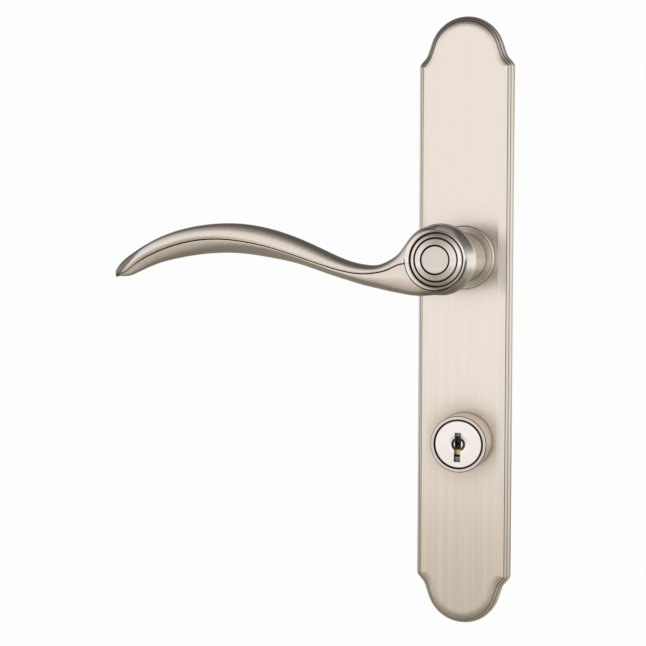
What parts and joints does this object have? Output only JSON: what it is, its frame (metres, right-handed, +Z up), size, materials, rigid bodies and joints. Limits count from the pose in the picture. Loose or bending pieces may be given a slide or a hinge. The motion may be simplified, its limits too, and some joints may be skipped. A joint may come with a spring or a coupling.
{
  "type": "screen door latch outside lever trim",
  "caption": "Long moulded escutcheon with an ogee outline, a wave-shaped return lever on a ringed hub, and a keyed cylinder.",
  "frame": {"origin": "centre of the escutcheon in its back plane, midway between the two mounting posts", "axes": "+X to the right seen from outside, +Y into the door along the posts, +Z up along the escutcheon"},
  "size_m": [0.1423, 0.1007, 0.2296],
  "materials": {
    "satin_nickel_plate": "satin nickel, brushed lengthwise",
    "satin_nickel_lever": "satin nickel, cast and buffed",
    "satin_nickel_collar": "satin nickel, turned",
    "polished_nickel": "bright nickel, fine satin",
    "zinc_steel": "zinc-plated steel",
    "spring_steel": "spring steel",
    "wafer_brass": "stamped brass",
    "nylon": "moulded nylon",
    "foam_seal": "closed-cell foam"
  },
  "bodies": {
    "trim": {"escutcheon": "satin_nickel_plate", "gasket": "foam_seal", "mounting_post_upper": "zinc_steel", "mounting_post_lower": "zinc_steel", "lever_bushing": "nylon", "return_spring": "spring_steel", "cage_cover": "zinc_steel", "cage_screws": "zinc_steel", "cylinder_housing": "satin_nickel_collar", "cylinder_clip": "spring_steel"},
    "lever": {"lever": "satin_nickel_lever", "spindle": "zinc_steel", "spindle_pin": "zinc_steel", "spring_cam": "zinc_steel", "retaining_ring": "spring_steel", "thrust_washer": "zinc_steel"},
    "plug": {"key_plug": "polished_nickel", "wafer_springs": "spring_steel", "plug_clip": "spring_steel", "tailpiece": "zinc_steel", "tailpiece_pin": "zinc_steel", "wafer_1": "wafer_brass", "wafer_2": "wafer_brass", "wafer_3": "wafer_brass", "wafer_4": "wafer_brass", "wafer_5": "wafer_brass"}
  },
  "joints": [
    {"name": "lever_turn", "type": "hinge", "parent": "trim", "child": "lever", "pos_m": [0, 0, 0.0246], "axis": [0, -1, 0], "range_deg": [0, 40], "stiffness_Nm_per_rad": 0.5, "springref_deg": -34.38, "deforming": ["return_spring"]},
    {"name": "key_turn", "type": "hinge", "parent": "trim", "child": "plug", "pos_m": [0.00107, 0, -0.0443], "axis": [0, -1, 0], "range_deg": [-90, 90]}
  ]
}
